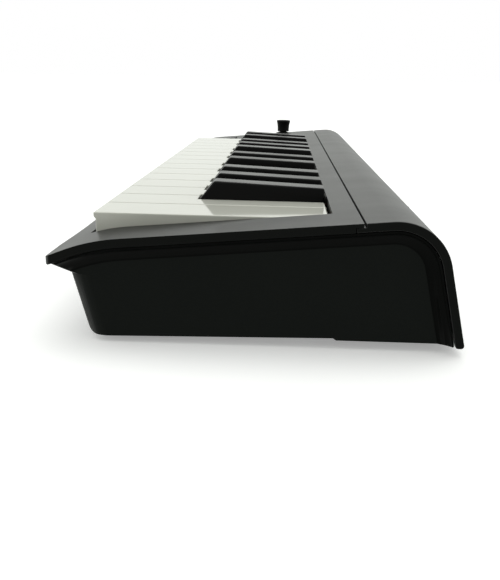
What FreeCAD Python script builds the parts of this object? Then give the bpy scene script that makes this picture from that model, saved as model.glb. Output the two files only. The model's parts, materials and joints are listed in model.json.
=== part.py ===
import FreeCAD, Part
import math
import os

# Compact 25-key controller. Origin at the centre of the footprint, on the table.
# +X is the player's right, +Y the rear, +Z up. Lengths in millimetres.

V = FreeCAD.Vector
os.makedirs("parts", exist_ok=True)
doc = FreeCAD.newDocument("controller")

DIM = {
    "case_length": 395.0,      # over the two cover ends
    "cover_front": -65.75,     # front lip
    "cover_wall": 2.8,         # thickness of the cover shell
    "case_end": 197.0,         # half length of the lower case over its flares
    "end_recess": 3.0,         # end panel set in behind the cover edge
    "seam_gap": 0.3,           # lower case to cover
    "split": 32.6,             # line between front frame and rear cover
    "split_gap": 0.6,
    "slot_right": 178.1,       # key slot edges
    "slot_left": -128.5,
    "slot_front": -55.9,
    "slot_rear": 24.1,
    "key_pitch": 20.36,        # white key to white key
    "keys_right": 177.5,       # right side of the last white key
    "key_gap": 0.6,
    "key_top": 39.3,
    "key_front": -54.9,
    "key_rear": 23.1,
    "key_skirt": 11.0,         # depth of a white key's sides
    "key_wall": 1.4,
    "key_plate": 2.0,
    "black_front": -23.0,
    "black_width": 10.76,
    "black_side_gap": 0.82,
    "tail_width": 8.0,
    "tail_bottom": 28.3,
    "tail_top": 36.2,
    "tail_end": 41.1,
    "pivot_y": 37.1,
    "pivot_z": 33.3,
    "axle_radius": 1.5,
    "pin_clearance": 0.05,
    "chassis_bottom": 12.0,
    "chassis_plate": 2.0,
    "stick_x": -159.5,
    "stick_y": 7.5,
    "stick_z": 30.0,           # height of the joystick's two axes
    "stick_hole": 13.0,
    "dome_radius": 13.2,
    "cap_bottom": 43.3,
    "cap_top": 51.5,
    "button_width": 18.0,
    "button_depth": 7.0,
    "button_proud": 0.9,
    "button_clearance": 0.4,
    "foot_radius": 6.0,
    "screw_radius": 1.3,
    "floor": 2.2,              # lower case wall
}
sheet = doc.addObject("Spreadsheet::Sheet", "dimensions")
for row, (alias, value) in enumerate(DIM.items(), start=1):
    sheet.set("A%d" % row, alias)
    sheet.set("B%d" % row, "%g" % value)
    sheet.setAlias("B%d" % row, alias)
doc.recompute()


def d(name):
    return DIM[name]


# ---------------------------------------------------------------- helpers
def bind(obj, prop, value):
    """A text value is an expression on the spreadsheet, a number is taken as it is."""
    if isinstance(value, str):
        obj.setExpression(prop, value)
    else:
        obj.setExpression(prop, "%.6f" % value)


def new_body(name):
    body = doc.addObject("PartDesign::Body", name)
    body.Label = name
    body.AllowCompound = True
    return body


def polygon(points):
    vectors = [V(x, y, 0) for x, y in points]
    return [Part.LineSegment(a, b) for a, b in zip(vectors, vectors[1:] + vectors[:1])]


def rectangle(x0, y0, x1, y1):
    return polygon([(x0, y0), (x1, y0), (x1, y1), (x0, y1)])


def circle(x, y, radius):
    return [Part.Circle(V(x, y, 0), V(0, 0, 1), radius)]


def rounded(points, radii):
    """Closed outline of lines, with an arc at each corner that has a radius."""
    count = len(points)
    corners = []
    for i in range(count):
        here = V(points[i][0], points[i][1], 0)
        before = V(points[i - 1][0], points[i - 1][1], 0) - here
        after = V(points[(i + 1) % count][0], points[(i + 1) % count][1], 0) - here
        before.normalize()
        after.normalize()
        radius = radii[i]
        if radius <= 0:
            corners.append((here, None, here))
            continue
        half = before.getAngle(after) / 2
        reach = radius / math.tan(half)
        inward = before + after
        inward.normalize()
        centre = here + inward * (radius / math.sin(half))
        corners.append((here + before * reach, centre - inward * radius, here + after * reach))
    edges = []
    for i in range(count):
        start, middle, end = corners[i]
        if middle is not None:
            edges.append(Part.Arc(start, middle, end))
        following = corners[(i + 1) % count][0]
        if (following - end).Length > 1e-6:
            edges.append(Part.LineSegment(end, following))
    return edges


def sketch(body, name, role, start, *loops):
    made = body.newObject("Sketcher::SketchObject", name)
    plane = [f for f in body.Origin.OriginFeatures if f.Role == role][0]
    made.AttachmentSupport = [(plane, "")]
    made.MapMode = "FlatFace"
    bind(made, "AttachmentOffset.Base.z", start)
    for loop in loops:
        for edge in loop:
            made.addGeometry(edge, False)
    return made


def pad(body, name, role, start, length, *loops):
    made = body.newObject("PartDesign::Pad", name)
    made.Profile = sketch(body, name + "_sketch", role, start, *loops)
    bind(made, "Length", length)
    return made


def pocket(body, name, role, start, length, *loops):
    """Cuts from the start plane towards the plane's own positive normal."""
    made = body.newObject("PartDesign::Pocket", name)
    made.Profile = sketch(body, name + "_sketch", role, start, *loops)
    made.Reversed = True
    bind(made, "Length", length)
    return made


def fillet(body, name, radius, wanted):
    """Rounds the edges whose middle point satisfies the test."""
    doc.recompute()
    base = body.Tip
    names = []
    for index, edge in enumerate(base.Shape.Edges, start=1):
        middle = edge.valueAt((edge.FirstParameter + edge.LastParameter) / 2)
        if wanted(middle, edge):
            names.append("Edge%d" % index)
    made = body.newObject("PartDesign::Fillet", name)
    made.Base = (base, names)
    bind(made, "Radius", radius)
    return made


def box(name, low, high):
    made = doc.addObject("Part::Box", name)
    made.Label = name
    for prop, a, b in zip(("Length", "Width", "Height"), low, high):
        bind(made, prop, b - a)
    made.Placement.Base = V(*low)
    return made


def group(name, members):
    made = doc.addObject("Part::Compound", name)
    made.Label = name
    made.Links = members
    return made


def coil(centre, mean_radius, wire_radius, turns, height):
    """One coil spring standing on its lower end."""
    path = Part.makeHelix(height / turns, height, mean_radius)
    section = Part.Wire(Part.makeCircle(wire_radius, V(mean_radius, 0, 0), V(0, 1, 0)))
    spring = Part.Wire(path.Edges).makePipeShell([section], True, False)
    spring.translate(centre)
    return spring


def shape_node(name, shape):
    made = doc.addObject("Part::Feature", name)
    made.Label = name
    made.Shape = shape
    return made


# ---------------------------------------------------------------- case section
TOP_SLOPE = 0.0915
WALL_LEAN = 0.239
FRONT_SLOPE = 0.385
REAR_RADIUS = 17.5
FRONT_RADIUS = 62.0


def top_height(y):
    """Height of the flat of the cover's top, which rises to the rear."""
    return 34.9 + TOP_SLOPE * (y + 43.2)


def cover_corners(inset):
    """Corners of the cover's outer line, moved inwards by the inset."""
    lift_front = inset * math.hypot(1, FRONT_SLOPE)
    lift_top = inset * math.hypot(1, TOP_SLOPE)
    lift_rear = inset * math.hypot(1, WALL_LEAN)
    front_z = 28.6 - lift_front
    top_at_zero = top_height(0) - lift_top
    bend_y = (top_at_zero - front_z - FRONT_SLOPE * 65.8) / (FRONT_SLOPE - TOP_SLOPE)
    bend = (bend_y, top_height(bend_y) - lift_top)
    rear_foot_y = 59.9 + WALL_LEAN * 28.3 - lift_rear
    rear_y = (rear_foot_y - WALL_LEAN * top_at_zero) / (1 + WALL_LEAN * TOP_SLOPE)
    rear = (rear_y, top_height(rear_y) - lift_top)
    return (d("cover_front"), front_z), bend, rear, rear_foot_y


def rear_wall_y(z, inset):
    return cover_corners(inset)[3] - WALL_LEAN * z


def on_top(y, inset):
    return (y, top_height(y) - inset * math.hypot(1, TOP_SLOPE))


wall = d("cover_wall")
lip, bend, rear, _ = cover_corners(0)
lip_in, bend_in, rear_in, _ = cover_corners(wall)
half_length = "dimensions.case_length / 2"
full_length = "dimensions.case_length"
front_split = d("split") - d("split_gap") / 2
rear_split = d("split") + d("split_gap") / 2

# ---------------------------------------------------------------- top cover: front frame of the case
top_cover = new_body("top_cover")
LAP = 2.2           # the front frame lies this far over the rear cover's tongue
LAP_DEPTH = 1.3
front_outline = rounded(
    [lip, bend, on_top(front_split, 0), on_top(front_split, LAP_DEPTH - 0.1),
     on_top(front_split - LAP - 0.2, LAP_DEPTH - 0.1), on_top(front_split - LAP - 0.2, wall),
     bend_in, lip_in],
    [1.0, FRONT_RADIUS, 0.4, 0, 0, 0, FRONT_RADIUS - wall, 0.9],
)
pad(top_cover, "cover_shell", "YZ_Plane", "-" + half_length, full_length, front_outline)
# Between its two ends the lip steps back in a long soft curve.
LIP_STEP = 2.0
CURVE_OUT = 187.5
CURVE_IN = 162.5


def lip_step(back):
    """What is taken off in front of the stepped-back lip, seen from above."""
    y_out = d("cover_front") + back
    y_in = y_out + LIP_STEP
    return rounded([(-CURVE_OUT, -75.0), (CURVE_OUT, -75.0), (CURVE_OUT, y_out), (CURVE_IN, y_in),
                    (-CURVE_IN, y_in), (-CURVE_OUT, y_out)], [0, 0, 0, 280.0, 280.0, 0])


pocket(top_cover, "stepped_lip", "XY_Plane", 0.0, 60.0, lip_step(0.0))
CORNER = 2.5
for side, name in ((1, "right"), (-1, "left")):
    end_x = d("case_length") / 2
    front_y = d("cover_front")
    centre = V(side * (end_x - CORNER), front_y + CORNER, 0)
    middle = centre + V(side, -1, 0) * (CORNER / math.sqrt(2))
    start = V(side * (end_x - CORNER), front_y, 0)
    end = V(side * end_x, front_y + CORNER, 0)
    outside = [V(side * (end_x + 1), front_y + CORNER, 0), V(side * (end_x + 1), front_y - 1, 0),
               V(side * (end_x - CORNER), front_y - 1, 0)]
    loop = [Part.Arc(start, middle, end)]
    for a, b in zip([end] + outside, outside + [start]):
        loop.append(Part.LineSegment(a, b))
    pocket(top_cover, "corner_" + name, "XY_Plane", 0.0, 60.0, loop)

# Screw posts under the cover at both ends of the case.
POSTS = [(187.0, -40.0), (187.0, 14.0), (-188.0, -40.0), (-188.0, 26.0), (-136.8, -40.0)]
SCREW_SEAT = 12.3
for number, (x, y) in enumerate(POSTS, start=1):
    depth = top_height(y) - 1.5 - SCREW_SEAT
    pad(top_cover, "post_%d" % number, "XY_Plane", SCREW_SEAT, depth, circle(x, y, 3.0))
pocket(top_cover, "post_holes", "XY_Plane", SCREW_SEAT, 12.0,
       *[circle(x, y, d("screw_radius") + 0.1) for x, y in POSTS])
# Short pegs that hold the button board.
SWITCH_BOARD_TOP = 24.6
PEGS = [(-180.0, -25.5), (-143.0, -25.5), (-161.5, -15.5), (-161.5, -35.0)]
for number, (x, y) in enumerate(PEGS, start=1):
    depth = top_height(y) - 1.5 - SWITCH_BOARD_TOP
    pad(top_cover, "peg_%d" % number, "XY_Plane", SWITCH_BOARD_TOP, depth, circle(x, y, 1.9))
pocket(top_cover, "key_slot", "XY_Plane", 0.0, 60.0,
       rounded([(d("slot_left"), d("slot_front")), (d("slot_right"), d("slot_front")),
                (d("slot_right"), d("slot_rear")), (d("slot_left"), d("slot_rear"))], [1.0] * 4))
pocket(top_cover, "stick_opening", "XY_Plane", 0.0, 60.0,
       circle(d("stick_x"), d("stick_y"), d("stick_hole")))
BUTTONS = {
    "button_octave_down": (-174.0, -18.0),
    "button_octave_up": (-149.0, -18.0),
    "button_arpeggio": (-174.0, -33.0),
    "button_sustain": (-149.0, -33.0),
}


def button_outline(x, y, grow):
    half_w = d("button_width") / 2 + grow
    half_d = d("button_depth") / 2 + grow
    return rounded([(x - half_w, y - half_d), (x + half_w, y - half_d),
                    (x + half_w, y + half_d), (x - half_w, y + half_d)], [1.5 + grow] * 4)


pocket(top_cover, "button_openings", "XY_Plane", 25.0, 30.0,
       *[button_outline(x, y, d("button_clearance")) for x, y in BUTTONS.values()])

# ---------------------------------------------------------------- rear cover: rear strip and rear wall
rear_cover = new_body("rear_cover")
foot_z = 2.8
rear_outline = rounded(
    [on_top(rear_split, 0), rear, (rear_wall_y(foot_z, 0), foot_z), (rear_wall_y(foot_z, wall), foot_z),
     rear_in, on_top(front_split - LAP, wall), on_top(front_split - LAP, LAP_DEPTH),
     on_top(rear_split, LAP_DEPTH)],
    [0.4, REAR_RADIUS, 1.0, 1.0, REAR_RADIUS - wall, 0, 0, 0],
)
pad(rear_cover, "rear_shell", "YZ_Plane", "-" + half_length, full_length, rear_outline)
# Ledge that carries the rear edge of the front frame.
ledge = [(29.5, 37.3), (36.0, 37.3), (36.0, 40.0), (31.2, 40.0), (31.2, 38.3), (29.5, 38.3)]
pad(rear_cover, "frame_ledge", "YZ_Plane", -185.0, 370.0, polygon(ledge))
REAR_POSTS = [(-152.0, 50.5), (-60.0, 50.5), (40.0, 50.5), (150.0, 50.5)]
for number, (x, y) in enumerate(REAR_POSTS, start=1):
    pad(rear_cover, "post_%d" % number, "XY_Plane", SCREW_SEAT, 39.2 - SCREW_SEAT, circle(x, y, 3.0))
pocket(rear_cover, "post_holes", "XY_Plane", SCREW_SEAT, 12.0,
       *[circle(x, y, d("screw_radius") + 0.1) for x, y in REAR_POSTS])
USB_X = -120.0
USB_Z = 15.0
pocket(rear_cover, "usb_opening", "XZ_Plane", -70.0, 14.0,
       rounded([(USB_X - 4.6, USB_Z - 2.6), (USB_X + 4.6, USB_Z - 2.6),
                (USB_X + 4.6, USB_Z + 2.6), (USB_X - 4.6, USB_Z + 2.6)], [0.8] * 4))

# ---------------------------------------------------------------- lower case
lower_case = new_body("lower_case")
gap = wall + d("seam_gap")
lip_low, bend_low, rear_low, _ = cover_corners(gap)
BOTTOM_FRONT = (-54.9, 2.0)
BOTTOM_STEP = (25.0, 3.8)
REAR_FOOT = (rear_wall_y(3.2, gap), 3.2)
tub_outline = rounded(
    [(-64.6, lip_low[1] + 0.45), bend_low, rear_low, REAR_FOOT, (26.0, 3.1), BOTTOM_STEP,
     BOTTOM_FRONT, (-60.3, 22.1)],
    [0.3, FRONT_RADIUS - gap, REAR_RADIUS - gap, 0.4, 0, 0, 5.0, 1.5],
)
pad(lower_case, "tub_block", "YZ_Plane", "-dimensions.case_end", "2 * dimensions.case_end", tub_outline)
inner_half = 191.4
floor = d("floor")
pocket(lower_case, "tub_hollow", "YZ_Plane", -inner_half, 2 * inner_half,
       polygon([(-58.0, 50.0), (-58.0, 23.0), (-54.2, 6.2), (-51.0, 2.2 + floor), (25.0, 3.9 + floor),
                (rear_wall_y(6.0, gap + 2.2), 3.9 + floor), (rear_wall_y(12.0, gap + 2.2), 12.0),
                (70.0, 12.0), (70.0, 50.0)]))
pocket(lower_case, "stepped_lip", "XY_Plane", 0.0, 60.0, lip_step(1.2))
# Recessed end panels, flaring out to the seam.
flare = 1.0
lip_end, bend_end, rear_end, _ = cover_corners(gap + flare)
end_outline = rounded(
    [(-75.0, -5.0), (-75.0, 17.5), (-61.5, 22.4), (-60.4, lip_end[1] + 1.6), bend_end, rear_end,
     (rear_wall_y(-5.0, gap + flare), -5.0)],
    [0, 0, 0, 0, 0, REAR_RADIUS - gap - flare, 0],
)
for side, name in ((1, "right"), (-1, "left")):
    cut = lower_case.newObject("PartDesign::Pocket", "end_panel_" + name)
    start = "dimensions.case_end" if side > 0 else "-dimensions.case_end"
    cut.Profile = sketch(lower_case, "end_panel_%s_sketch" % name, "YZ_Plane", start, end_outline)
    cut.Reversed = side < 0
    bind(cut, "Length", "dimensions.end_recess")
    cut.TaperAngle = -48.0
# Screw bosses in the floor and the holes through them.
ALL_POSTS = POSTS + REAR_POSTS
BOSS_FOOT = 4.0
pad(lower_case, "bosses", "XY_Plane", BOSS_FOOT, SCREW_SEAT - 0.3 - BOSS_FOOT,
    *[circle(x, y, 3.4) for x, y in ALL_POSTS])
pocket(lower_case, "screw_holes", "XY_Plane", 0.0, 20.0,
       *[circle(x, y, d("screw_radius") + 0.2) for x, y in ALL_POSTS])
pocket(lower_case, "screw_head_wells", "XY_Plane", 0.0, 9.0, *[circle(x, y, 2.7) for x, y in ALL_POSTS])
CHASSIS_SCREWS = [(x, y) for x in (-126.0, 25.0, 176.0) for y in (-42.0, 20.5)]
CHASSIS_BOTTOM = d("chassis_bottom")
pad(lower_case, "chassis_bosses", "XY_Plane", BOSS_FOOT, CHASSIS_BOTTOM - BOSS_FOOT,
    *[circle(x, y, 3.4) for x, y in CHASSIS_SCREWS])
pocket(lower_case, "chassis_screw_holes", "XY_Plane", 6.0, 8.0,
       *[circle(x, y, d("screw_radius") + 0.1) for x, y in CHASSIS_SCREWS])
BOARD_POSTS = [(x, y) for x in (-180.0, -145.0) for y in (-48.0, 44.0)]
BOARD_BOTTOM = 9.0
pad(lower_case, "board_bosses", "XY_Plane", BOSS_FOOT, BOARD_BOTTOM - BOSS_FOOT,
    *[circle(x, y, 2.8) for x, y in BOARD_POSTS])
pocket(lower_case, "board_screw_holes", "XY_Plane", 5.5, 8.0,
       *[circle(x, y, 1.1) for x, y in BOARD_POSTS])

# ---------------------------------------------------------------- key layout
WHITE_COUNT = 15
pitch = d("key_pitch")
white_left = [d("keys_right") - (WHITE_COUNT - i) * pitch for i in range(WHITE_COUNT)]
# A black key's centre in white widths from the right-hand side, the same in both octaves.
octave = [1.857, 3.0, 4.143, 5.9, 7.1]
black_centres = sorted(d("keys_right") - (place + shift) * pitch for place in octave for shift in (0, 7))
notch = d("black_width") / 2 + d("black_side_gap")
key_bottom = d("key_top") - d("key_skirt")
actuator_y = (-5.0, -1.0)
tail_top = d("tail_top")
pin_hole = d("axle_radius") + d("pin_clearance")


def key_tail(body, x):
    """Arm under the rear strip, with the hole for the axle."""
    half = d("tail_width") / 2
    arm = rounded(
        [(d("key_rear") - 2.5, d("tail_bottom")), (d("tail_end"), d("tail_bottom")),
         (d("tail_end"), tail_top), (d("key_rear") - 2.5, tail_top)], [0, 2.5, 2.5, 0])
    pad(body, "tail", "YZ_Plane", x - half, "dimensions.tail_width", arm)
    pocket(body, "axle_hole", "YZ_Plane", x - half - 1, d("tail_width") + 2,
           circle(d("pivot_y"), d("pivot_z"), pin_hole))


tail_centres = []
for i in range(WHITE_COUNT):
    left = white_left[i] + d("key_gap") / 2
    right = white_left[i] + pitch - d("key_gap") / 2
    if i == WHITE_COUNT - 1:
        right = d("keys_right")
    blacks = [c for c in black_centres if left - notch < c < right + notch]
    rear_left = max([left] + [c + notch for c in blacks if c < (left + right) / 2])
    rear_right = min([right] + [c - notch for c in blacks if c > (left + right) / 2])
    notch_y = d("black_front") - d("black_side_gap")
    key_back = d("key_rear")
    front = d("key_front")
    body = new_body("white_key_%02d" % (i + 1))
    outline = [(left, front), (right, front)]
    inner = [(left, front), (right, front)]
    if rear_right < right:
        outline += [(right, notch_y), (rear_right, notch_y)]
    outline += [(rear_right, key_back), (rear_left, key_back)]
    if rear_left > left:
        outline += [(rear_left, notch_y), (left, notch_y)]
    pad(body, "key_block", "XY_Plane", key_bottom, "dimensions.key_skirt", polygon(outline))
    w = d("key_wall")
    hollow = [(left + w, front + w), (right - w, front + w)]
    if rear_right < right:
        hollow += [(right - w, notch_y - w), (rear_right - w, notch_y - w)]
    hollow += [(rear_right - w, key_back - w), (rear_left + w, key_back - w)]
    if rear_left > left:
        hollow += [(rear_left + w, notch_y - w), (left + w, notch_y - w)]
    pocket(body, "key_hollow", "XY_Plane", key_bottom - 1,
           "dimensions.key_skirt - dimensions.key_plate + 1", polygon(hollow))
    x = (rear_left + rear_right) / 2
    tail_centres.append(x)
    pad(body, "actuator", "XY_Plane", 23.7, d("key_top") - 1.0 - 23.7,
        rectangle(x - 2.0, actuator_y[0], x + 2.0, actuator_y[1]))
    key_tail(body, x)
    top = d("key_top")
    fillet(body, "front_edge", 1.0,
           lambda m, e: abs(m.y - front) < 0.01 and abs(m.z - top) < 0.01)

black_top_front = d("key_top") + 6.6
black_top_rear = d("key_top") + 4.9
for i, x in enumerate(black_centres):
    body = new_body("black_key_%02d" % (i + 1))
    half = d("black_width") / 2
    side = rounded(
        [(d("black_front"), key_bottom), (d("key_rear"), key_bottom), (d("key_rear"), black_top_rear),
         (-17.9, black_top_front), (d("black_front"), d("key_top"))], [0, 0, 0.8, 1.2, 0])
    pad(body, "key_block", "YZ_Plane", x - half, "dimensions.black_width", side)
    # Sides lean in towards the top.
    lean = [[(x + s * half, d("key_top")), (x + s * (half + 3), d("key_top")), (x + s * (half + 3), 50.0),
             (x + s * (4.525 - 0.6), 50.0), (x + s * 4.525, black_top_front)] for s in (-1, 1)]
    pocket(body, "leaning_sides", "XZ_Plane", -30.0, 60.0, *[polygon(points) for points in lean])
    w = 1.6
    pocket(body, "key_hollow", "XY_Plane", key_bottom - 1, d("key_skirt") - d("key_plate") + 1,
           rectangle(x - half + w, d("black_front") + 2.2, x + half - w, d("key_rear") - w))
    pad(body, "actuator", "XY_Plane", 23.7, d("key_top") - 1.0 - 23.7,
        rectangle(x - 2.0, actuator_y[0], x + 2.0, actuator_y[1]))
    tail_centres.append(x)
    key_tail(body, x)

# ---------------------------------------------------------------- chassis, axle, springs
chassis = new_body("key_chassis")
plate_top = CHASSIS_BOTTOM + d("chassis_plate")
pad(chassis, "plate", "XY_Plane", "dimensions.chassis_bottom", "dimensions.chassis_plate",
    rectangle(-132.0, -52.5, 182.0, 46.0))
FELT_SEAT = 19.9
pad(chassis, "front_rail", "XY_Plane", plate_top - 0.5, FELT_SEAT - plate_top + 0.5,
    rectangle(-131.0, -52.5, 181.0, -46.0))
BRACKETS = [-130.5, -67.0, 14.85, 75.5, 159.3, 180.5]
bracket_foot = plate_top - 0.5
bracket = rounded([(30.0, bracket_foot), (46.0, bracket_foot), (41.0, 36.4), (33.2, 36.4)], [0, 0, 3, 3])
for number, x in enumerate(BRACKETS, start=1):
    pad(chassis, "bracket_%d" % number, "YZ_Plane", x - 1.0, 2.0, bracket)
pocket(chassis, "axle_holes", "YZ_Plane", -140.0, 330.0, circle(d("pivot_y"), d("pivot_z"), pin_hole))
SPRING_Y = 28.5
pad(chassis, "spring_seats", "XY_Plane", plate_top - 0.5, 21.0 - plate_top + 0.5,
    *[circle(x, SPRING_Y, 3.0) for x in tail_centres])
BOARD_SEATS = [(x, y) for x in (-122.0, -49.0, 24.0, 98.0, 171.0) for y in (-13.0, 13.0)]
pad(chassis, "board_seats", "XY_Plane", plate_top - 0.5, 2.5, *[circle(x, y, 2.6) for x, y in BOARD_SEATS])
pocket(chassis, "board_screw_holes", "XY_Plane", 10.0, 8.0, *[circle(x, y, 1.1) for x, y in BOARD_SEATS])
pocket(chassis, "case_screw_holes", "XY_Plane", 10.0, 8.0,
       *[circle(x, y, d("screw_radius") + 0.2) for x, y in CHASSIS_SCREWS])

axle = new_body("key_axle")
pad(axle, "rod", "YZ_Plane", -133.0, 315.5, circle(d("pivot_y"), d("pivot_z"), d("axle_radius")))

shape_node("key_springs", Part.makeCompound(
    [coil(V(x, SPRING_Y, 21.5), 2.2, 0.4, 4, 5.4) for x in tail_centres]))

# ---------------------------------------------------------------- key contacts and stops
contact_board = new_body("contact_board")
pad(contact_board, "board", "XY_Plane", 16.0, 1.6, rectangle(-126.0, -16.0, 176.0, 16.0))
pocket(contact_board, "board_holes", "XY_Plane", 15.0, 4.0, *[circle(x, y, 1.2) for x, y in BOARD_SEATS])

strip = new_body("rubber_contact_strip")
pad(strip, "web", "XY_Plane", 17.6, 1.0, rectangle(-126.0, -8.0, 176.0, 3.0))
pad(strip, "domes", "XY_Plane", 18.4, 2.1, *[circle(x, -3.0, 2.6) for x in tail_centres])

box("lower_stop_felt", (-130.0, -52.0, FELT_SEAT), (180.0, -46.5, FELT_SEAT + 1.9))
upper_felt = new_body("upper_stop_felt")
pad(upper_felt, "felt", "YZ_Plane", -128.0, 305.0,
    polygon([(24.6, 36.6), (28.6, 36.6), (28.6, 38.3), (24.6, 38.0)]))

# ---------------------------------------------------------------- boards at the left and the socket
main_board = new_body("main_board")
pad(main_board, "board", "XY_Plane", BOARD_BOTTOM, 1.6,
    polygon([(-183.5, -52.0), (-141.5, -52.0), (-141.5, 47.5), (-112.0, 47.5), (-112.0, 56.5),
             (-160.0, 56.5), (-160.0, 47.5), (-183.5, 47.5)]))
clear_posts = [(x, y) for x, y in ALL_POSTS if x < -130]
pocket(main_board, "post_cutouts", "XY_Plane", BOARD_BOTTOM - 1, 4.0,
       *[circle(x, y, 4.2) for x, y in clear_posts if x == -152.0],
       *[circle(x, y, 1.2) for x, y in BOARD_POSTS])
# Chips: place, then length and width.
CHIPS = [(-165.0, -15.0, 12.0, 12.0), (-168.0, 8.0, 7.0, 5.0), (-152.0, 8.0, 5.0, 8.0),
         (-165.0, -35.0, 9.0, 4.0)]
for number, (x, y, w, depth) in enumerate(CHIPS, start=1):
    pad(main_board, "chip_%d" % number, "XY_Plane", BOARD_BOTTOM + 1.5, 1.5,
        rectangle(x - w / 2, y - depth / 2, x + w / 2, y + depth / 2))

usb = new_body("usb_socket")
pad(usb, "shell", "XZ_Plane", -62.0, 10.0, rounded(
    [(USB_X - 4.0, USB_Z - 2.1), (USB_X + 4.0, USB_Z - 2.1),
     (USB_X + 4.0, USB_Z + 2.1), (USB_X - 4.0, USB_Z + 2.1)], [0.6] * 4))
pocket(usb, "mouth", "XZ_Plane", -62.5, 8.5, polygon(
    [(USB_X - 2.9, USB_Z - 1.6), (USB_X + 2.9, USB_Z - 1.6), (USB_X + 3.5, USB_Z - 0.4),
     (USB_X + 3.5, USB_Z + 1.6), (USB_X - 3.5, USB_Z + 1.6), (USB_X - 3.5, USB_Z - 0.4)]))
pad(usb, "tongue", "XZ_Plane", -60.8, 7.5, rectangle(USB_X - 2.4, USB_Z + 0.1, USB_X + 2.4, USB_Z + 0.8))
pad(usb, "base", "XY_Plane", BOARD_BOTTOM + 1.6, USB_Z - 2.0 - BOARD_BOTTOM - 1.6,
    rectangle(USB_X - 4.0, 52.0, USB_X + 4.0, 56.3))

ribbon = new_body("board_ribbon_cable")
pad(ribbon, "ribbon", "XZ_Plane", -9.5, 5.5, polygon(
    [(-120.0, 17.6), (-120.0, 18.1), (-137.5, 18.1), (-137.5, 11.6), (-142.5, 11.6), (-142.5, 10.6),
     (-142.0, 10.6), (-142.0, 11.1), (-137.0, 11.1), (-137.0, 17.6)]))

# ---------------------------------------------------------------- joystick
sx, sy, sz = d("stick_x"), d("stick_y"), d("stick_z")
HOUSING_HALF = 17.0
HOUSING_IN = 14.6
HOUSING_FLOOR = 19.0
housing = new_body("joystick_housing")
pad(housing, "block", "XY_Plane", HOUSING_FLOOR - 1.6, 34.8 - HOUSING_FLOOR + 1.6,
    rectangle(sx - HOUSING_HALF, sy - HOUSING_HALF, sx + HOUSING_HALF, sy + HOUSING_HALF))
pocket(housing, "bowl", "XY_Plane", HOUSING_FLOOR, 20.0, rounded(
    [(sx - HOUSING_IN, sy - HOUSING_IN), (sx + HOUSING_IN, sy - HOUSING_IN),
     (sx + HOUSING_IN, sy + HOUSING_IN), (sx - HOUSING_IN, sy + HOUSING_IN)], [2.0] * 4))
pocket(housing, "yoke_bearings", "XZ_Plane", -sy - 20.0, 40.0, circle(sx, sz, 1.55))
LEGS = [(sx + i * 14.0, sy + j * 14.0) for i in (-1, 1) for j in (-1, 1)]
pad(housing, "legs", "XY_Plane", BOARD_BOTTOM + 1.6, HOUSING_FLOOR - 1.0 - BOARD_BOTTOM - 1.6,
    *[circle(x, y, 2.5) for x, y in LEGS])

yoke = new_body("joystick_yoke")
pad(yoke, "ring", "XY_Plane", sz - 1.9, 3.8,
    rectangle(sx - 11.0, sy - 11.0, sx + 11.0, sy + 11.0),
    rectangle(sx - 8.6, sy - 8.6, sx + 8.6, sy + 8.6))
pocket(yoke, "stick_bearings", "YZ_Plane", sx - 12.0, 24.0, circle(sy, sz, 1.25))
pad(yoke, "front_pin", "XZ_Plane", -sy + 10.5, 5.9, circle(sx, sz, 1.5))
pad(yoke, "rear_pin", "XZ_Plane", -sy - 16.4, 5.9, circle(sx, sz, 1.5))

stick = new_body("joystick_stick")
dome = d("dome_radius")
spread = math.radians(44)
stick_foot = sz - 5.6
# Half section turned about the stick: foot, shank, dome skirt and the neck that takes the cap.
sin_s, cos_s = math.sin(spread), math.cos(spread)
inner_dome = dome - 1.3
mid = math.radians(28)
outline = [
    Part.LineSegment(V(0, stick_foot, 0), V(2.6, stick_foot, 0)),
    Part.LineSegment(V(2.6, stick_foot, 0), V(2.6, sz + math.sqrt(inner_dome ** 2 - 2.6 ** 2), 0)),
    Part.Arc(V(2.6, sz + math.sqrt(inner_dome ** 2 - 2.6 ** 2), 0),
             V(inner_dome * math.sin(mid), sz + inner_dome * math.cos(mid), 0),
             V(inner_dome * sin_s, sz + inner_dome * cos_s, 0)),
    Part.LineSegment(V(inner_dome * sin_s, sz + inner_dome * cos_s, 0),
                     V(dome * sin_s, sz + dome * cos_s, 0)),
    Part.Arc(V(dome * sin_s, sz + dome * cos_s, 0),
             V(dome * math.sin(mid), sz + dome * math.cos(mid), 0),
             V(2.0, sz + math.sqrt(dome ** 2 - 4.0), 0)),
    Part.LineSegment(V(2.0, sz + math.sqrt(dome ** 2 - 4.0), 0), V(2.0, 49.0, 0)),
    Part.LineSegment(V(2.0, 49.0, 0), V(0, 49.0, 0)),
    Part.LineSegment(V(0, 49.0, 0), V(0, stick_foot, 0)),
]
turned = stick.newObject("PartDesign::Revolution", "turned_stick")
turned_sketch = sketch(stick, "turned_sketch", "XZ_Plane", 0.0, outline)
turned.Profile = turned_sketch
turned.ReferenceAxis = (turned_sketch, ["V_Axis"])
turned.Angle = 360.0
pad(stick, "cross_pin", "YZ_Plane", -10.9, 21.8, circle(0, sz, 1.2))
stick.Placement = FreeCAD.Placement(V(sx, sy, 0), FreeCAD.Rotation())

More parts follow.
